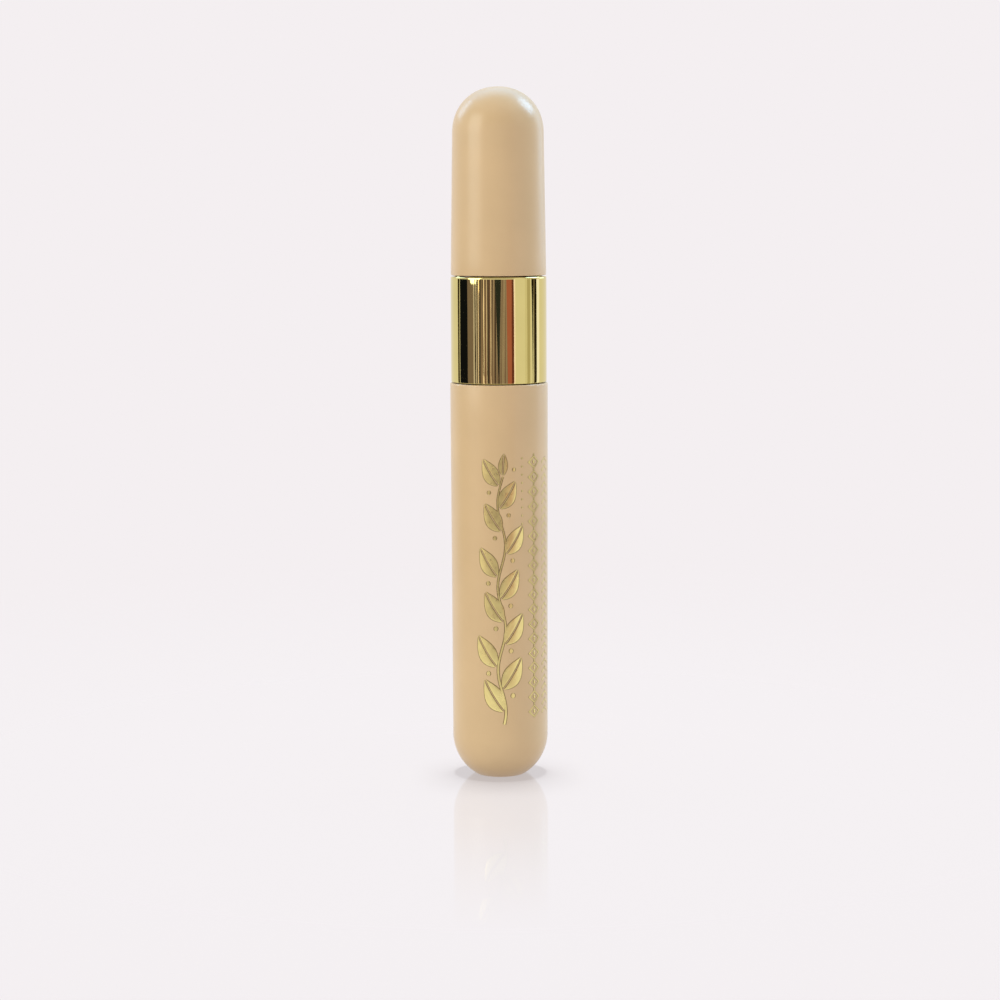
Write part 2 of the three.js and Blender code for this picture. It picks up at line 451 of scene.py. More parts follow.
def foil_edge_shade_finish():
    """The bevels and sides of the stamped foil, coloured dark: painted shade, standing in for the darker
    surroundings that these edges reflect.
    """
    finish = Finish("gold_foil_edge_shade", FOIL_EDGE_SHADE, 0.45, 0.5)
    uneven = finish.noise(1.5, 3)
    tone = finish.colours(uneven, (0.3, shade(FOIL_EDGE_SHADE, 0.8)), (0.7, shade(FOIL_EDGE_SHADE, 1.3)))
    finish.feed("Base Color", tone)
    finish.roughness(uneven, 0.3, 0.7, 0.38, 0.55)
    finish.bumps((uneven, 0.006 * MM, 0.3))
    return finish.material


def black_finish():
    """Black moulded plastic with a soft gloss, flow marks and fine scuffs."""
    finish = Finish("black_plastic", BLACK, 0.28)
    finish.uniform("Specular IOR Level", 0.25)
    flow = finish.noise(0.3, 4, (1, 1, 0.3))
    finish.feed("Base Color", finish.colours(flow, (0.3, BLACK), (0.75, shade(BLACK, 1.9))))
    finish.roughness(flow, 0.3, 0.75, 0.2, 0.36)
    scuffs = finish.noise(6, 3, (1, 1, 0.08))
    finish.bumps((finish.noise(0.8, 2), 0.01 * MM, 0.25), (scuffs, 0.003 * MM, 0.2))
    return finish.material


def paste_finish():
    """Wet mascara: near black, lumpy and glossy, duller where it has begun to dry."""
    finish = Finish("mascara_cream", PASTE_BLACK, 0.14)
    finish.uniform("Specular IOR Level", 0.22)
    dry = finish.noise(0.9, 4)
    finish.feed("Base Color", finish.colours(dry, (0.4, PASTE_BLACK), (0.8, shade(PASTE_BLACK, 2.6))))
    finish.roughness(dry, 0.35, 0.75, 0.08, 0.42)
    finish.bumps((finish.noise(1.6, 4), 0.12 * MM, 0.5), (finish.noise(7, 3), 0.02 * MM, 0.3))
    return finish.material


def bristle_finish():
    """Moulded elastomer, matt between a thin uneven film of mascara."""
    finish = Finish("brush_elastomer", BLACK, 0.42)
    finish.uniform("Specular IOR Level", 0.12)
    film = finish.noise(1.4, 4)
    finish.feed("Base Color", finish.colours(film, (0.35, PASTE_BLACK), (0.7, shade(BLACK, 1.6))))
    finish.roughness(film, 0.35, 0.65, 0.16, 0.5)
    finish.bumps((finish.noise(5, 3), 0.02 * MM, 0.35))
    return finish.material


def natural_finish():
    """Milky low-density plastic, smeared black around the opening that wipes the stem."""
    milky = (0.74, 0.72, 0.66)
    finish = Finish("wiper_plastic", milky, 0.4)
    tone = finish.colours(finish.noise(0.5, 3), (0.3, shade(milky, 0.93)), (0.7, milky))
    top = main_wiper.top
    deep = finish.ranged(finish.height(), top - 0.1 * MM, top - 0.8 * MM, 0, 1)
    smeared = finish.times(deep, finish.ranged(finish.noise(0.7, 5), 0.35, 0.5, 0, 1))
    finish.feed("Base Color", finish.mixed(smeared, tone, PASTE_BLACK))
    finish.roughness(finish.noise(1.5, 3), 0.3, 0.7, 0.3, 0.5)
    finish.bumps((finish.noise(3, 3), 0.01 * MM, 0.3))
    finish.uniform("Subsurface Weight", 0.2)
    finish.uniform("Subsurface Scale", 0.5 * MM)
    return finish.material


def seal_finish():
    """Foamed polyethylene: pale and finely cellular."""
    foam = (0.68, 0.65, 0.58)
    finish = Finish("seal_foam", foam, 0.7)
    cells = finish.noise(4, 3)
    finish.feed("Base Color", finish.colours(cells, (0.35, shade(foam, 0.85)), (0.65, foam)))
    finish.roughness(cells, 0.3, 0.7, 0.6, 0.85)
    finish.bumps((cells, 0.05 * MM, 0.5))
    return finish.material


def paper_finish():
    """A plain coated sticker with faint fibres and a printed gold border, without any text."""
    paper = (0.85, 0.82, 0.75)
    finish = Finish("label_paper", paper, 0.5)
    fibres = finish.noise(2.5, 5, (1, 0.25, 1))
    tone = finish.colours(fibres, (0.3, shade(paper, 0.93)), (0.7, paper))
    flat = finish.node("VectorMath")
    flat.operation = "MULTIPLY"
    flat.inputs[1].default_value = (1, 1, 0)
    finish.link(finish.place, flat, 0)
    reach = finish.length(flat.outputs["Vector"])
    border, line, blur = label.radius - 0.55 * MM, 0.2 * MM, 0.02 * MM
    past_start = finish.ranged(reach, border, border + blur, 0, 1)
    before_end = finish.ranged(reach, border + line, border + line + blur, 1, 0)
    printed = finish.times(past_start, before_end)
    finish.feed("Base Color", finish.mixed(printed, tone, shade(GOLD, 0.7)))
    finish.roughness(fibres, 0.3, 0.7, 0.4, 0.6)
    finish.bumps((fibres, 0.01 * MM, 0.4))
    return finish.material


# Bottle ---------------


def shell_radius(height):
    """The bottle's outer radius, which grows a little from the base curve to the top."""
    share = (height - BASE_CENTRE) / (shell.top - BASE_CENTRE)
    return SHELL_LOW_RADIUS + (shell.radius - SHELL_LOW_RADIUS) * share


def bottle_shell(material):
    foot_angle = -degrees(acos(FOOT_RADIUS / SHELL_LOW_RADIUS))
    inner = SHELL_LOW_RADIUS - WALL
    floor_angle = -degrees(asin((BASE_CENTRE - SHELL_FLOOR) / inner))
    recess = label.radius + FIT
    ceiling = label.top + 0.05 * MM
    wall = [(shell_radius(height), height) for height in spread(BASE_CENTRE, shell.top, 12)[1:-1]]
    points = outline(
        (0, ceiling),
        (recess, ceiling),
        (recess, 0, 0.12 * MM),
        (FOOT_RADIUS, 0, 0.25 * MM),
        *arc(BASE_CENTRE, SHELL_LOW_RADIUS, foot_angle + 3, 0, 36),
        *wall,
        (shell.radius, shell.top, 0.28 * MM),
        (shell.radius - WALL, shell.top, 0.2 * MM),
        *arc(BASE_CENTRE, inner, 0, floor_angle, 16),
        (0, SHELL_FLOOR),
    )
    piece = turned("bottle_outer_shell", points, FINE_SIDES)
    place(piece, material, "bottle", "beige_shell", "bottle_shell")


def base_label(material):
    points = outline(
        (0, label.bottom),
        (label.radius, label.bottom, 0.05 * MM),
        (label.radius, label.top),
        (0, label.top),
    )
    place(turned("base_sticker", points), material, "bottle", "label_paper", "base_label")


def vial_neck_and_body(material):
    shoulder = shell.top
    under = shoulder - 1.5 * MM
    inner = VIAL_RADIUS - VIAL_WALL
    points = outline(
        *arc(VIAL_CENTRE, VIAL_RADIUS, -90, 0, 24),
        (VIAL_RADIUS, under),
        (vial.radius, under, 0.15 * MM),
        (vial.radius, shoulder, 0.2 * MM),
        (NECK_RADIUS, shoulder, 0.3 * MM),
        (NECK_RADIUS, vial.top, 0.25 * MM),
        (NECK_BORE, vial.top, 0.15 * MM),
        (NECK_BORE, shoulder),
        (inner, under - VIAL_WALL),
        *arc(VIAL_CENTRE, inner, 0, -90, 20),
    )
    place(turned("inner_vial", points), material, "bottle", "black_plastic", "vial")
    ridge = thread("vial_neck_thread", NECK_RADIUS, NECK_CREST, shoulder + RING_THREAD_RISE)
    place(ridge, material, "bottle", "black_plastic")
    low, high = shoulder + 1.35 * MM, shoulder + 1.95 * MM
    crest, edge = NECK_RADIUS + 0.45 * MM, 0.18 * MM
    bead = outline(
        (NECK_RADIUS - FIT, low),
        (crest, low, edge),
        (crest, high, edge),
        (NECK_RADIUS - FIT, high),
    )
    place(turned("vial_neck_bead", bead, closed=True), material, "bottle", "black_plastic")


def wiper_plug(material):
    barrel, bore, lip = 4.75 * MM, 4.1 * MM, STEM_RADIUS + FIT
    lip_width, lip_height, lip_edge = 0.5 * MM, 0.8 * MM, 0.12 * MM
    cone_top, bend = main_wiper.bottom + 4 * MM, 1.2 * MM
    flange = main_wiper.top - 0.6 * MM
    points = outline(
        (lip, main_wiper.bottom, lip_edge),
        (lip + lip_width, main_wiper.bottom, lip_edge),
        (barrel, cone_top, bend),
        (barrel, flange),
        (main_wiper.radius, flange, 0.15 * MM),
        (main_wiper.radius, main_wiper.top, 0.2 * MM),
        (bore, main_wiper.top, 0.4 * MM),
        (bore, cone_top, bend),
        (lip, main_wiper.bottom + lip_height, 0.3 * MM),
    )
    piece = turned("neck_wiper_plug", points, closed=True)
    place(piece, material, "bottle", "natural_wiper", "main_wiper")


def cream(material):
    """The cream in the vial, with an uneven surface around the stem."""
    gap, wave_height, wave_length = 0.4 * MM, 0.35 * MM, 1.8 * MM
    hollow = BRUSH_END_REACH + BRUSH_BELLY + gap
    throat = STEM_RADIUS + gap
    hollow_top, taper = BRUSH_TOP + 1.2 * MM, 3 * MM
    end = brush.bottom - gap
    level = paste.top - gap
    surface = [(radius, level) for radius in spread(paste.radius, throat, 12)]
    points = outline(
        *arc(VIAL_CENTRE, paste.radius, -90, 0, 20),
        *surface,
        (throat, hollow_top + taper),
        (hollow, hollow_top),
        (hollow, end),
        (0, end),
    )
    piece = turned("cream_filling", points)
    for vertex in piece.data.vertices:
        if vertex.co.z > level - FIT / 2:
            vertex.co.z += wave_height * noise.noise(vertex.co / wave_length)
    place(piece, material, "bottle", "paste", "mascara_paste")


# Foil ornament: a climbing sprig and three fine border rows, all without letters ---------------

FOIL_RISE = 0.045 * MM
FOIL_SUNK = 0.03 * MM
FOIL_COLUMNS = 6
FOIL_BEVEL = 0.13 * MM
FOIL_WIDEST_BEVEL = 0.28  # as a share of the patch's width
FOIL_EDGE_RISE = 0.3  # as a share of the foil's rise
VEIN_HALF_WIDTH = 0.07 * MM

SPRIG_BOTTOM, SPRIG_TOP = 11.5 * MM, 64 * MM
SPRIG_STEM_SHARE = 0.93
SPRIG_LEAVES = 11
LEAF_ANGLE = radians(38)
LEAF_CURL = -0.12
# Sizes at the bottom and at the top of the sprig.
TWIG_HALF_WIDTH = (0.33 * MM, 0.2 * MM)
LEAF_LENGTH = (7.2 * MM, 5.6 * MM)
LEAF_WIDTH = (4.1 * MM, 3.3 * MM)
BERRY_RADIUS = (0.52 * MM, 0.38 * MM)

# The rows' distances to the right of the bottle's front, and their ends.
DOT_ROW, LOZENGE_ROW, CHEVRON_ROW = 4.55 * MM, 7.4 * MM, 11.2 * MM
DOTS_BOTTOM, LOZENGES_BOTTOM, CHEVRONS_BOTTOM = 51 * MM, 12.2 * MM, 13.1 * MM
ROWS_TOP = 64.9 * MM


def on_bottle(across, height, lift):
    """A point on the bottle's front, from its distance round the surface to the right of the middle."""
    radius = shell_radius(height)
    angle = across / radius
    return (radius + lift) * sin(angle), -(radius + lift) * cos(angle), height


def across_patch(width):
    """The shares across a patch that its columns stand at: a narrow bevel at both edges."""
    bevel = min(FOIL_WIDEST_BEVEL, FOIL_BEVEL / max(width, FOIL_BEVEL))
    return [0, *spread(bevel, 1 - bevel, FOIL_COLUMNS - 2), 1]


class Foil:
    """Collects the thin closed patches of one foil motif."""

    def __init__(self):
        self.verts = []
        self.faces = []
        # whether each face takes the painted dark edge shade
        self.edge_shaded = []

    def patch(self, rows):
        """A patch from (left, right) pairs of points across the surface, with softened edges."""
        first, wide, last = len(self.verts), FOIL_COLUMNS + 1, len(rows) - 1
        for is_top in (True, False):
            for i, (left, right) in enumerate(rows):
                for j, share in enumerate(across_patch((right - left).length)):
                    point = left.lerp(right, share)
                    edge = i in (0, last) or j in (0, FOIL_COLUMNS)
                    rise = FOIL_RISE * FOIL_EDGE_RISE if edge else FOIL_RISE
                    self.verts.append(on_bottle(point.x, point.y, rise if is_top else -FOIL_SUNK))
        under = first + wide * len(rows)
        for i in range(last):
            for j in range(FOIL_COLUMNS):
                a, b = i * wide + j, i * wide + j + 1
                c, d = b + wide, a + wide
                self.faces.append((first + a, first + b, first + c, first + d))
                self.faces.append((under + d, under + c, under + b, under + a))
                self.edge_shaded += [j in (0, FOIL_COLUMNS - 1), False]
        rim = list(range(wide))
        rim += [i * wide + FOIL_COLUMNS for i in range(1, last + 1)]
        rim += [last * wide + j for j in range(FOIL_COLUMNS - 1, -1, -1)]
        rim += [i * wide for i in range(last - 1, 0, -1)]
        for one, other in zip(rim, rim[1:] + rim[:1]):
            self.faces.append((under + one, under + other, first + other, first + one))
            self.edge_shaded.append(True)

    def ribbon(self, path, half_width):
        """A band along a path of points. half_width is a length, or a function of the share."""
        rows = []
        for i, here in enumerate(path):
            before = path[max(i - 1, 0)]
            after = path[min(i + 1, len(path) - 1)]
            along = ((here - before).normalized() + (after - here).normalized()).normalized()
            step = (after - here) if i == 0 else (here - before)
            side = Vector((-along.y, along.x))
            mitre = 1 / max(0.5, abs(along.dot(step.normalized())))
            half = half_width(i / (len(path) - 1)) if callable(half_width) else half_width
            rows.append((here + side * half * mitre, here - side * half * mitre))
        self.patch(rows)

    def dot(self, centre, radius):
        steps = 10
        rows = []
        for i in range(steps + 1):
            angle = pi * (0.04 + 0.92 * i / steps)
            half = Vector((radius * sin(angle), 0))
            middle = centre + Vector((0, -radius * cos(angle)))
            rows.append((middle - half, middle + half))
        self.patch(rows)

    def leaf(self, root, direction, length, width, curl):
        """A leaf of two blades with a bare vein between them."""
        along = Vector((sin(direction), cos(direction)))
        across = Vector((along.y, -along.x))
        steps = 14
        for side in (-1, 1):
            rows = []
            for i in range(steps + 1):
                t = i / steps
                middle = root + along * length * t + across * curl * length * t * t
                swell = sin(pi * (0.03 + 0.95 * t)) ** 0.8 * (1.15 - 0.45 * t)
                near = middle + across * side * VEIN_HALF_WIDTH
                far = middle + across * side * (VEIN_HALF_WIDTH + width / 2 * swell)
                rows.append((near, far) if side > 0 else (far, near))
            self.patch(rows)


def sprig_twig(share):
    """Where the sprig's waving twig is, at a share of the way up."""
    middle, swing, waves, phase = 0.35 * MM, 0.75 * MM, 3.2, 0.6
    sway = sin(2 * pi * waves * share + phase)
    return Vector((middle + swing * sway, SPRIG_BOTTOM + (SPRIG_TOP - SPRIG_BOTTOM) * share))


def between(sizes, share):
    low, high = sizes
    return low + (high - low) * share


def foil_sprig(foil):
    """Leaves to the left and right of the twig in turn, each with a berry on the other side."""
    leaf_gap, berry_gap = 0.42 * MM, 1.9 * MM
    berry_share = 3 * MM / (SPRIG_TOP - SPRIG_BOTTOM)
    path = [sprig_twig(share) for share in spread(0, SPRIG_STEM_SHARE, 90)]
    foil.ribbon(path, lambda share: between(TWIG_HALF_WIDTH, share))
    for i in range(SPRIG_LEAVES):
        share = (i + 0.6) / (SPRIG_LEAVES + 0.8)
        side = 1 if i % 2 else -1
        root = sprig_twig(share) + Vector((side * leaf_gap, 0))
        length, width = between(LEAF_LENGTH, share), between(LEAF_WIDTH, share)
        foil.leaf(root, side * LEAF_ANGLE, length, width, side * LEAF_CURL)
        berry = sprig_twig(share + berry_share) - Vector((side * berry_gap, 0))
        foil.dot(berry, between(BERRY_RADIUS, share))
    tip = path[-1] + Vector((0, 0.25 * MM))
    foil.leaf(tip, 0.0, 4.2 * MM, 1.9 * MM, 0.05)


def row_points(across, bottom, pitch):
    """The middles of the motifs in a row that ends at ROWS_TOP."""
    count = round((ROWS_TOP - bottom) / pitch)
    return [Vector((across, bottom + pitch * (i + 0.5))) for i in range(count)]


def foil_lozenges(foil):
    """A row of open lozenges, with a dot in each and one after it."""
    pitch, half_long, half_wide, half_stroke = 2.9 * MM, 1.1 * MM, 1.3 * MM, 0.19 * MM
    inner_dot, outer_dot = 0.36 * MM, 0.22 * MM
    corners = [(0.5, -0.5), (1, 0), (0, 1), (-1, 0), (0, -1), (0.5, -0.5)]
    for middle in row_points(LOZENGE_ROW, LOZENGES_BOTTOM, pitch):
        path = [middle + Vector((x * half_wide, y * half_long)) for x, y in corners]
        foil.ribbon(path, half_stroke)
        foil.dot(middle, inner_dot)
        foil.dot(middle + Vector((0, pitch / 2)), outer_dot)


def foil_chevrons(foil):
    """A row of chevrons that point up."""
    pitch, half_wide, rise, half_stroke = 1.6 * MM, 1.3 * MM, 0.9 * MM, 0.2 * MM
    left, right = Vector((-half_wide, -rise)), Vector((half_wide, -rise))
    for peak in row_points(CHEVRON_ROW, CHEVRONS_BOTTOM, pitch):
        foil.ribbon([peak + left, peak, peak + right], half_stroke)


def foil_dots(foil):
    """A short row of dots."""
    count, pitch, radius = 9, 1.6 * MM, 0.2 * MM
    for i in range(count):
        foil.dot(Vector((DOT_ROW, DOTS_BOTTOM + pitch * i)), radius)


def foil_ornament(material, edge_shade_material):
    foil = Foil()
    foil_sprig(foil)
    foil_lozenges(foil)
    foil_chevrons(foil)
    foil_dots(foil)
    piece = mesh_object("foil_ornament", foil.verts, foil.faces)
    place(piece, material, "bottle", "gold_ring")
    # The bevels and sides take a second material, a painted dark shade.
    piece.data.materials.append(edge_shade_material)
    piece.data.polygons.foreach_set("material_index", [int(edge_shaded) for edge_shaded in foil.edge_shaded])


# Middle ring ---------------


def washer(name, node, inner, body, material):
    size = extent(node)
    edge = 0.12 * MM
    points = outline(
        (inner, size.bottom, edge),
        (size.radius, size.bottom, edge),
        (size.radius, size.top, edge),
        (inner, size.top, edge),
    )
    place(turned(name, points, closed=True), material, body, "seal_foam", node)


def gold_sleeve(material):
    """The sleeve, with a crown of a hair's breadth and rolled edges."""
    roll, crown, power, steps = 0.4 * MM, 0.012 * MM, 8, 16
    low_bevel, high_bevel, inner_bevel = 0.12 * MM, 0.25 * MM, 0.1 * MM
    edge = ring.radius - 2 * crown
    straight = ring.top - ring.bottom - 2 * roll
    middle = [
        (ring.radius - crown * abs(2 * i / steps - 1) ** power, ring.bottom + roll + straight * i / steps)
        for i in range(steps + 1)
    ]
    points = outline(
        (SLEEVE_BORE, ring.bottom, inner_bevel),
        (edge, ring.bottom, low_bevel),
        *middle,
        (edge, ring.top, high_bevel),
        (SLEEVE_BORE, ring.top, inner_bevel),
    )
    piece = turned("gold_ring_sleeve", points, FINE_SIDES, closed=True)
    place(piece, material, "ring", "gold_ring", "gold_ring")


def ring_core(material):
    top = ring.top - FIT
    web_bottom = ring_seal.top + FIT
    hole = STEM_RADIUS + 0.25 * MM
    points = outline(
        (SOCKET_RADIUS, core.bottom, 0.3 * MM),
        (core.radius, core.bottom, 0.2 * MM),
        (core.radius, top, 0.2 * MM),
        (RING_NECK_RADIUS, top, 0.3 * MM),
        (RING_NECK_RADIUS, core.top, 0.25 * MM),
        (RING_NECK_BORE, core.top, 0.25 * MM),
        (RING_NECK_BORE, web_bottom + WEB, 0.3 * MM),
        (hole, web_bottom + WEB, 0.1 * MM),
        (hole, web_bottom, 0.1 * MM),
        (SOCKET_RADIUS, web_bottom, 0.4 * MM),
    )
    place(turned("ring_inner_core", points, closed=True), material, "ring", "black_plastic", "ring_core")
    bottom = ring.top + CAP_THREAD_RISE
    male = thread("ring_neck_thread", RING_NECK_RADIUS, RING_NECK_CREST, bottom)
    place(male, material, "ring", "black_plastic")
    bottom = shell.top + RING_THREAD_RISE + THREAD_PITCH / 2
    female = thread("ring_socket_thread", SOCKET_RADIUS, NECK_RADIUS + 0.4 * MM, bottom)
    place(female, material, "ring", "black_plastic")


FILM_SUNK = 0.15  # how far the film lies inside its rod where there is no cream, in film depths


def coated(bottom, top, depth):
    """Relief of a film of cream: lumpy, and breaking up into smears towards its top."""

    def relief(angle, radius, height):
        share = (height - bottom) / (top - bottom)
        point = at_angle(1, angle, height / MM * 0.22)
        lumps = 0.5 + 0.5 * noise.fractal(point * 1.7, 0.6, 2.0, 4)
        return depth * max(-FILM_SUNK, 0.25 + lumps - 1.4 * share * share)

    return relief


def hollow_stem(material, wet):
    pocket, pocket_depth = STEM_BORE + 0.26 * MM, 1.8 * MM
    head_length, edge, film_depth = 2.6 * MM, 0.05 * MM, 0.1 * MM
    pocket_top = stem.bottom + pocket_depth
    head_bottom = stem.top - head_length
    points = outline(
        (pocket, stem.bottom, edge),
        (STEM_RADIUS, stem.bottom, edge),
        (STEM_RADIUS, head_bottom, 0.2 * MM),
        (stem.radius, head_bottom, 0.2 * MM),
        (stem.radius, stem.top, 0.3 * MM),
        (STEM_BORE, stem.top, 0.2 * MM),
        (STEM_BORE, pocket_top),
        (pocket, pocket_top),
    )
    piece = turned("hollow_outer_stem", points, closed=True)
    place(piece, material, "ring", "black_plastic", "outer_stem")
    film_bottom, film_top = stem.bottom + 0.1 * MM, paste.top + 2 * MM
    film = film_on_rod("outer_stem_film", STEM_RADIUS, film_bottom, film_top, film_depth)
    place(film, wet, "ring", "paste")


def film_on_rod(name, radius, bottom, top, depth):
    """A sleeve of cream around a rod, as deep as its lumps and just inside the rod between them."""
    inside = 0.05 * MM
    outer = [(radius, height) for height in spread(bottom, top, 140)]
    inner = [(radius - inside, top), (radius - inside, bottom)]
    lumps = coated(bottom, top, depth)

    def relief(angle, reach, height):
        if reach < radius:
            return 0
        return lumps(angle, reach, height) if bottom < height < top else -FILM_SUNK * depth

    return turned(name, outer + inner, closed=True, relief=relief)


def stem_nose(material):
    """The bevelled wiper in the end of the hollow stem."""
    lip, bevel_width, bevel_height = wand.radius + FIT, 0.3 * MM, 0.8 * MM
    shoulder = stem.bottom - FIT
    spigot = STEM_BORE + 0.1 * MM
    points = outline(
        (lip, nose.bottom, 0.06 * MM),
        (STEM_RADIUS - bevel_width, nose.bottom, 0.15 * MM),
        (STEM_RADIUS, nose.bottom + bevel_height, 0.4 * MM),
        (STEM_RADIUS, shoulder, 0.05 * MM),
        (spigot, shoulder),
        (spigot, nose.top),
        (lip, nose.top),
    )
    piece = turned("stem_nose_wiper", points, closed=True)
    place(piece, material, "ring", "black_plastic", "inner_wiper")


# Cap and wand ---------------


def cap_shell(material):
    centre = cap.top - DOME_RADIUS
    rim_inner = cap.radius - WALL
    rim, dome_foot = Vector((cap.radius, cap.bottom)), Vector((DOME_RADIUS, centre))
    wall = [tuple(rim.lerp(dome_foot, share)) for share in spread(0, 1, 8)[1:-1]]
    points = outline(
        *dome_curve(centre, DOME_RADIUS - WALL, 90, 0, 24),
        (rim_inner, cap.bottom, 0.2 * MM),
        (cap.radius, cap.bottom, 0.28 * MM),
        *wall,
        *dome_curve(centre, DOME_RADIUS, 0, 90, 48),
    )
    place(turned("cap_outer_shell", points, FINE_SIDES), material, "cap", "beige_shell", "cap_shell")


def cap_liner(material):
    web = cap_seal.top + FIT
    points = outline(
        (LINER_BORE, liner.bottom, 0.3 * MM),
        (liner.radius, liner.bottom, 0.2 * MM),
        (liner.radius, web + WEB, 0.3 * MM),
        (BOSS_RADIUS, web + WEB, 0.5 * MM),
        (BOSS_RADIUS, liner.top, 0.2 * MM),
        (BOSS_BORE, liner.top, 0.1 * MM),
        (BOSS_BORE, web, 0.1 * MM),
        (LINER_BORE, web, 0.4 * MM),
    )
    place(turned("cap_inner_liner", points, closed=True), material, "cap", "black_plastic", "cap_liner")
    bottom = ring.top + CAP_THREAD_RISE + THREAD_PITCH / 2
    female = thread("cap_liner_thread", LINER_BORE, RING_NECK_RADIUS + 0.35 * MM, bottom, turns=1)
    place(female, material, "cap", "black_plastic")


def wand_stem(material, wet):
    socket, socket_top = 1.25 * MM, BRUSH_TOP + 6.2 * MM
    points = outline(
        (0, socket_top),
        (socket, socket_top),
        (socket, wand.bottom, 0.1 * MM),
        (wand.radius, wand.bottom, 0.35 * MM),
        (wand.radius, wand.top, 0.3 * MM),
        (0, wand.top),
    )
    place(turned("wand_rod", points), material, "cap", "black_plastic", "wand_stem")
    film_bottom, film_top, film_depth = wand.bottom + 0.5 * MM, 48 * MM, 0.13 * MM
    film = film_on_rod("wand_rod_film", wand.radius, film_bottom, film_top, film_depth)
    place(film, wet, "cap", "paste")


BRUSH_ROWS = 16
SPINES_PER_ROW = 28
SPINE_RADIUS = 0.27 * MM
BRUSH_CORE = 1.5 * MM
SPINES_LENGTH = BRUSH_TOP - 1 * MM - brush.bottom  # the stretch of the core that carries spines


def brush_reach(share):
    """How far the spines reach at a share of the way from the tip of the brush to its top."""
    return BRUSH_END_REACH + BRUSH_BELLY * sin(pi * share) ** 0.85


def spine(verts, faces, base, tip, thickness):
    """One tapered spine with a rounded tip."""
    sides = 6
    along = (tip - base).normalized()
    first_side = along.orthogonal().normalized()
    second_side = along.cross(first_side)
    first = len(verts)
    profile = [(0, 1), (0.45, 0.78), (0.85, 0.58), (0.96, 0.42)]
    for share, width in profile:
        for i in range(sides):
            angle = 2 * pi * i / sides
            offset = first_side * cos(angle) + second_side * sin(angle)
            verts.append(base.lerp(tip, share) + offset * thickness * width)
    verts.append(tip)
    faces += [face[::-1] for face in ring_faces(first, len(profile) - 1, sides)]
    last = first + sides * (len(profile) - 1)
    for i in range(sides):
        faces.append((last + i, last + (i + 1) % sides, first + sides * len(profile)))
    faces.append(tuple(range(first + sides - 1, first - 1, -1)))


def brush_spines(material):
    """Rows of spines around the core. Every second pair of rows is half a pitch higher."""
    chance = random.Random(7)
    skew, sag = 0.03, 0.12
    verts, faces = [], []
    for row in range(BRUSH_ROWS):
        for k in range(SPINES_PER_ROW):
            share = (k + 0.25 + 0.5 * (row // 2 % 2)) / SPINES_PER_ROW
            angle = 2 * pi * row / BRUSH_ROWS + chance.uniform(-skew, skew)
            middle = Vector((0, 0, brush.bottom + SPINES_LENGTH * share))
            out = at_angle(1, angle, 0)
            base = out * BRUSH_CORE * 0.8 + middle
            droop = Vector((0, 0, chance.uniform(-sag, sag) * MM))
            tip = out * brush_reach(share) * chance.uniform(0.975, 0.99) + droop + middle
            spine(verts, faces, base, tip, SPINE_RADIUS)
    piece = mesh_object("brush_spines", verts, faces)
    place(piece, material, "cap", "bristles")


def brush_core(material):
    neck, plug = 1.9 * MM, 1.05 * MM
    points = outline(
        (0, brush.bottom),
        (BRUSH_CORE - 0.3 * MM, brush.bottom, 0.4 * MM),
        (BRUSH_CORE, brush.bottom + 1.2 * MM, 0.5 * MM),
        (BRUSH_CORE, BRUSH_TOP - 3 * MM, 0.5 * MM),
        (neck, BRUSH_TOP - 1.5 * MM, 0.3 * MM),
        (neck, BRUSH_TOP, 0.15 * MM),
        (plug, BRUSH_TOP, 0.1 * MM),
        (plug, brush.top, 0.3 * MM),
        (0, brush.top),
    )
    place(turned("brush_core", points, 48), material, "cap", "bristles", "brush")


def brush_cream(material):
    """Cream caught between the spines, heaped unevenly in lumps and along the rows."""
    run_out = 0.04
    everywhere, along_rows, in_lumps = 0.18, 0.26, 0.36
    bottom, top = brush.bottom + 0.15 * MM, BRUSH_TOP - 0.4 * MM

    def relief(angle, radius, height):
        share = (height - brush.bottom) / (BRUSH_TOP - brush.bottom)
        spare = brush_reach(max(0, min(1, share))) - radius
        rows = 0.5 + 0.5 * cos(BRUSH_ROWS * angle)
        point = at_angle(1.6, angle, height / MM * 0.55)
        lumps = 0.5 + 0.5 * noise.fractal(point * 1.3, 0.7, 2.1, 5)
        fade = min(1, share / run_out, (1 - share) / run_out)
        return spare * fade * (everywhere + along_rows * rows + in_lumps * lumps)

    wall = [(BRUSH_CORE, height) for height in spread(bottom, top, 150)]
    points = [(0, bottom), *wall, (0, top)]
    place(turned("brush_cream_fill", points, 112, relief=relief), material, "cap", "paste")


def brush_clots(material):
    """Small clots of cream that hang between the spines."""
    chance = random.Random(23)
    clots, rings, sides = 90, 6, 10
    verts, faces = [], []
    for _ in range(clots):
        share = chance.uniform(0.02, 0.98)
        angle = 2 * pi * chance.randrange(BRUSH_ROWS) / BRUSH_ROWS
        size = chance.uniform(0.16, 0.34) * MM
        reach = brush_reach(share) * chance.uniform(0.72, 0.95) - size
        height = brush.bottom + SPINES_LENGTH * share
        centre = at_angle(reach, angle, height)
        first = len(verts)
        for i in range(rings + 1):
            polar = pi * (0.04 + 0.92 * i / rings)
            for k in range(sides):
                turn = 2 * pi * k / sides
                ray = Vector((sin(polar) * cos(turn),
                              sin(polar) * sin(turn), cos(polar)))
                lump = 0.8 + 0.45 * noise.noise((centre + ray * size) / (0.35 * MM))
                verts.append(centre + ray * size * lump)
        faces += ring_faces(first, rings, sides)
        faces.append(tuple(range(first, first + sides)))
        end = first + rings * sides
        faces.append(tuple(range(end + sides - 1, end - 1, -1)))
    place(mesh_object("brush_cream_clots", verts, faces), material, "cap", "paste")


# Studio ---------------

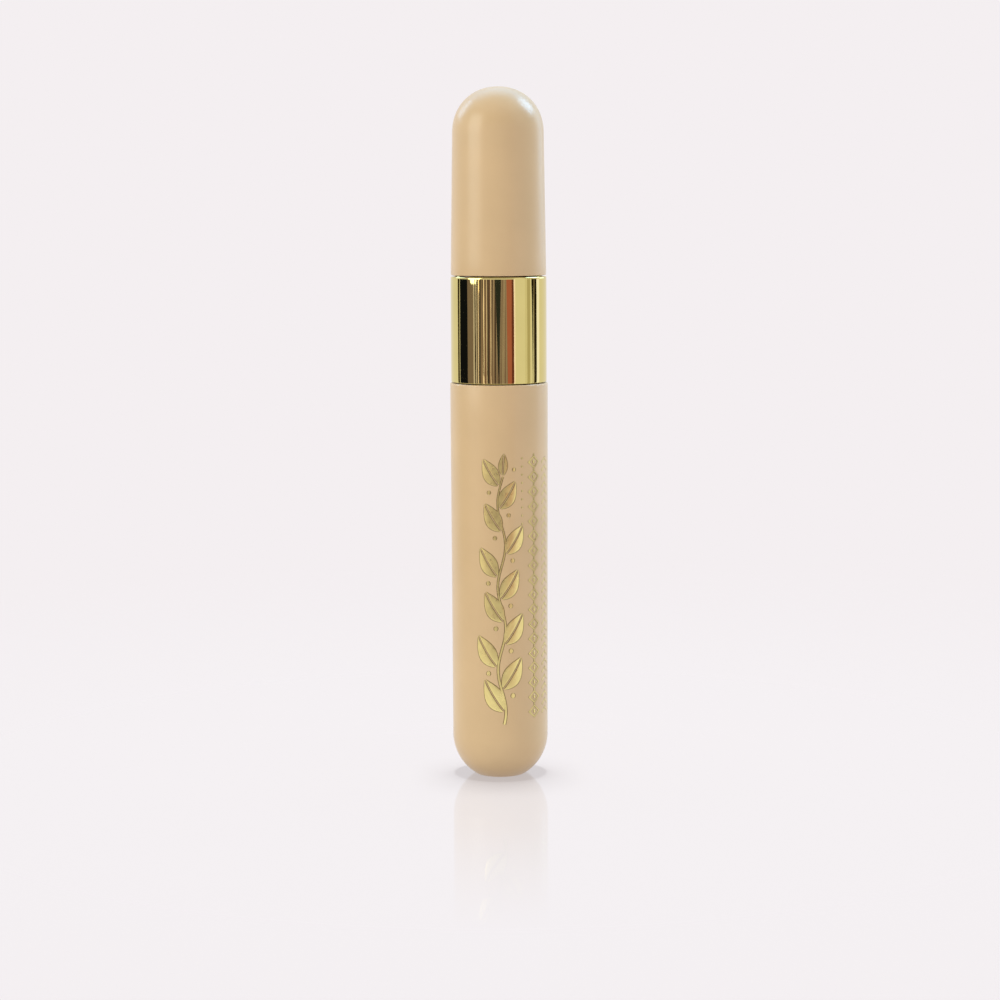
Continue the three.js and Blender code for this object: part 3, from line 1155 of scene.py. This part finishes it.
PALE = (0.905, 0.863, 0.879)
TABLE = (0.1, 0.095, 0.097)
TABLE_GLOW = 0.6
TABLE_FADE = (0.06, 0.3)  # distances from the foot between which the table top fades away
COAT_WEIGHT = 0.68
COAT_FADE = (0.045, 0.115)
DAYLIGHT = (0.38, 0.67, 1)
SKYLIGHT = (0.12, 0.5, 1)
COOL_LIGHT = (0.7, 0.94, 1)
SHADE_LIGHT = (0.95, 1, 1)
WHITE_LIGHT = (0.93, 1, 0.92)
LAMPLIGHT = (1, 0.72, 0.5)
CAMERA_DISTANCE = 0.5137
CAMERA_PITCH = radians(6.6)
CAMERA_TARGET = Vector((0.0001, 0, 0.0547))
CAMERA_ROLL = radians(-0.25)
LENS = 93.6
SENSOR = 36


def camera():
    data = bpy.data.cameras.new("photo_camera")
    data.lens = LENS
    data.sensor_width = SENSOR
    data.dof.use_dof = False
    made = in_scene("photo_camera", data)
    back = Vector((0, -cos(CAMERA_PITCH), sin(CAMERA_PITCH)))
    made.location = CAMERA_TARGET + back * CAMERA_DISTANCE
    turn = (-back).to_track_quat("-Z", "Y").to_matrix().to_4x4()
    made.rotation_euler = turn.to_euler()
    made.rotation_euler.rotate_axis("Z", CAMERA_ROLL)
    bpy.context.scene.camera = made


def world():
    made = bpy.data.worlds.new("studio")
    made.use_nodes = True
    background = made.node_tree.nodes["Background"]
    background.inputs["Color"].default_value = (*PALE, 1)
    background.inputs["Strength"].default_value = 1
    bpy.context.scene.world = made
    bpy.context.scene.view_settings.view_transform = "Standard"


def glowing(name, colour):
    material = bpy.data.materials.new(name)
    material.use_nodes = True
    nodes, links = material.node_tree.nodes, material.node_tree.links
    nodes.remove(nodes["Principled BSDF"])
    emission = nodes.new("ShaderNodeEmission")
    emission.inputs["Color"].default_value = (*colour, 1)
    links.new(emission.outputs["Emission"], nodes["Material Output"].inputs["Surface"])
    return material


# Panels around the studio: where each starts and ends, in degrees of azimuth from the front to the
# right, how it glows, and where its upper half starts and ends if that differs. Between them, the
# reflections in the gold show the plain room.
STUDIO_PANELS = [
    (-115, -108, (0.05, 0.035, 0.012)),
    (-106, -80, (0.007, 0.008, 0.014)),
    (-80, -63, (0.24, 0.18, 0.2)),
    (-63, -52, (0.69, 0.60, 0.73)),
    (-52, -38, (0.32, 0.22, 0.23)),
    (-38, -17, (0.25, 0.15, 0.16)),
    (-17, 21, (0.24, 0.16, 0.18), (-17, 18)),
    (21, 31, (0.48, 0.15, 0.13), (18, 31)),
    (31, 37, (0.17, 0.05, 0.04), (31, 36)),
    (37, 40, (1.26, 1.08, 1.40), (36, 40)),
    (66, 72, (0.83, 0.78, 0.73)),
    (72, 81, (0.57, 0.51, 0.40)),
    (89.5, 90.5, (0.012, 0.008, 0.004), (85, 91)),
    (93.5, 97, (0.13, 0.1, 0.08), (91, 97)),
    (97, 103.5, (0.008, 0.006, 0.004), (97, 102.5)),
    (103.5, 114, (1.2, 1.18, 1.6), (102.5, 114)),
]
WEDGE_LOW, WEDGE_HIGH = (-1, 1), (-8, 5)
WEDGE_GLOW = (0.03, 0.035, 0.04)
STUDIO_SHADES = [(-115, 40), (69, 114)]
SHADE_GLOW = (0.24, 0.18, 0.19)
PANEL_DISTANCE = 0.75
PANEL_LEVELS = (-0.2, 0.025, 0.08, 0.115)
SHADE_LEVELS = (0.32, 0.45, 0.6, 0.85)


def panel(name, low, high, colour, distance, heights=PANEL_LEVELS):
    """A glowing panel around the object. low and high are its azimuths below and above."""
    steps = 8
    verts, faces = [], []
    for i in range(steps + 1):
        for height, (start, end) in zip(heights, (low, low, high, high)):
            angle = radians(start + (end - start) * i / steps)
            verts.append((distance * sin(angle), -distance * cos(angle), height))
    levels = len(heights)
    for i in range(steps):
        for k in range(levels - 1):
            a = levels * i + k
            faces.append((a, a + 1, a + levels + 1, a + levels))
    made = mesh_object(name, verts, faces)
    made.data.materials.append(glowing(name, colour))
    made.visible_camera = False
    made.visible_shadow = False


def studio_panels():
    """The busier side of the room, which only the reflections show, with narrow bars in front."""
    for index, (start, end, glow, *leaning) in enumerate(STUDIO_PANELS):
        low = (start, end)
        high = leaning[0] if leaning else low
        panel(f"studio_panel_{index}", low, high, glow, PANEL_DISTANCE)
    for index, span in enumerate(STUDIO_SHADES):
        panel(f"studio_shade_{index}", span, span, SHADE_GLOW, PANEL_DISTANCE, SHADE_LEVELS)
    chance = random.Random(5)
    angle, last_angle, index = -60.0, 18, 0
    while angle < last_angle:
        width = chance.uniform(1.2, 2.6)
        drift = chance.uniform(-2.5, 2.5)
        end_width = width * chance.uniform(0.2, 1.6)
        low = (angle + drift, angle + drift + end_width)
        levels = (0.07, 0.11, 0.75, 1.1) if angle < -18 else (0.04, 0.08, 0.36, 0.46)
        level = chance.choice(levels)
        glow = (level, level * 0.8, level * 0.88)
        panel(f"studio_bar_{index}", low, (angle, angle + width), glow, PANEL_DISTANCE * 0.97)
        angle += width + chance.uniform(0.6, 2.6)
        index += 1
    panel("studio_wedge", WEDGE_LOW, WEDGE_HIGH, WEDGE_GLOW, PANEL_DISTANCE * 0.94)


def softbox(name, azimuth, elevation, distance, size, watts, colour):
    """A light that faces the tube's middle. Its azimuth is in degrees from the front to the right."""
    data = bpy.data.lights.new(name, "AREA")
    data.shape = "RECTANGLE"
    data.size, data.size_y = size
    data.energy = watts
    data.color = colour
    made = in_scene(name, data)
    a, e = radians(azimuth), radians(elevation)
    away = Vector((sin(a) * cos(e), -cos(a) * cos(e), sin(e)))
    middle = (cad_low + cad_high) / 2
    made.location = middle + away * distance
    made.rotation_euler = (-away).to_track_quat("-Z", "Y").to_euler()
    made.visible_camera = False
    return made


def floor():
    """A pale, faintly glowing table top with a thin clear coat, which fades into the backdrop."""
    radius, sides, rings, drop = 0.4, 96, 8, 0.02 * MM
    verts = [(0, 0, -drop)]
    for ring_index in range(1, rings + 1):
        for i in range(sides):
            angle = 2 * pi * i / sides
            reach = radius * ring_index / rings
            verts.append(at_angle(reach, angle, -drop))
    middle = [(0, 1 + i, 1 + (i + 1) % sides) for i in range(sides)]
    made = mesh_object("table_top", verts, middle + ring_faces(1, rings - 1, sides))
    finish = Finish("table_top", TABLE, 0.6)
    finish.uniform("Emission Color", (*PALE, 1))
    finish.uniform("Emission Strength", TABLE_GLOW)
    distance = finish.length(finish.place)
    finish.feed("Alpha", finish.ranged(distance, *TABLE_FADE, 1, 0))
    finish.feed("Coat Weight", finish.ranged(distance, *COAT_FADE, COAT_WEIGHT, 0))
    finish.uniform("Coat Roughness", 0.03)
    finish.uniform("Specular IOR Level", 0)
    made.data.materials.append(finish.material)
    return made


def link_lights(lights, name, piece, state):
    """Makes lights pass over one piece (EXCLUDE), or light only that one (INCLUDE)."""
    reached = bpy.data.collections.new(name)
    reached.objects.link(piece)
    reached.collection_objects[0].light_linking.link_state = state
    for light in lights:
        light.light_linking.receiver_collection = reached


def lights(table_top):
    """Soft boxes around the tube, and a ceiling lamp that only lights the table top and shades it."""
    around = [
        softbox("key_left", -62, 21, 0.7, (0.4, 0.5), 2.08, WHITE_LIGHT),
        softbox("stripe_left", -48, 20, 0.7, (0.05, 0.5), 0.3, LAMPLIGHT),
        softbox("window_right", 118, 43, 0.6, (0.26, 0.26), 2.2, DAYLIGHT),
        softbox("window_low_right", 128, 14, 0.7, (0.3, 0.28), 0.43, DAYLIGHT),
        softbox("rim_left", -126, 34, 0.6, (0.2, 0.26), 0.75, DAYLIGHT),
        softbox("overhead", 180, 60, 0.6, (0.7, 0.4), 1.4, SKYLIGHT),
    ]
    front = softbox("front_fill", 15, 28, 0.9, (0.5, 0.4), 1.42, COOL_LIGHT)
    front.visible_glossy = False
    link_lights([*around, front], "all_but_the_table_top", table_top, "EXCLUDE")
    ceiling = softbox("table_lamp", 180, 88.5, 1.6, (0.2, 0.24), 87, SHADE_LIGHT)
    ceiling.visible_glossy = False
    link_lights([ceiling], "the_table_top_only", table_top, "INCLUDE")


# The whole model ---------------


def build():
    black = black_finish()
    wet = paste_finish()
    gold = gold_finish()
    foam = seal_finish()
    rubber = bristle_finish()
    bottle_shell(beige_finish("beige_lacquer_bottle", shell.top, -RUBBED))
    base_label(paper_finish())
    vial_neck_and_body(black)
    wiper_plug(natural_finish())
    cream(wet)
    foil_ornament(foil_finish(), foil_edge_shade_finish())
    washer("ring_sealing_washer", "ring_seal", 3.4 * MM, "ring_washer", foam)
    gold_sleeve(gold)
    ring_core(black)
    hollow_stem(black, wet)
    stem_nose(black)
    washer("cap_sealing_washer", "cap_seal", 2.6 * MM, "cap_washer", foam)
    cap_shell(beige_finish("beige_lacquer_cap", cap.bottom, RUBBED))
    cap_liner(black)
    wand_stem(black, wet)
    brush_core(rubber)
    brush_spines(rubber)
    brush_cream(wet)
    brush_clots(wet)


build()
world()
studio_panels()
lights(floor())
camera()
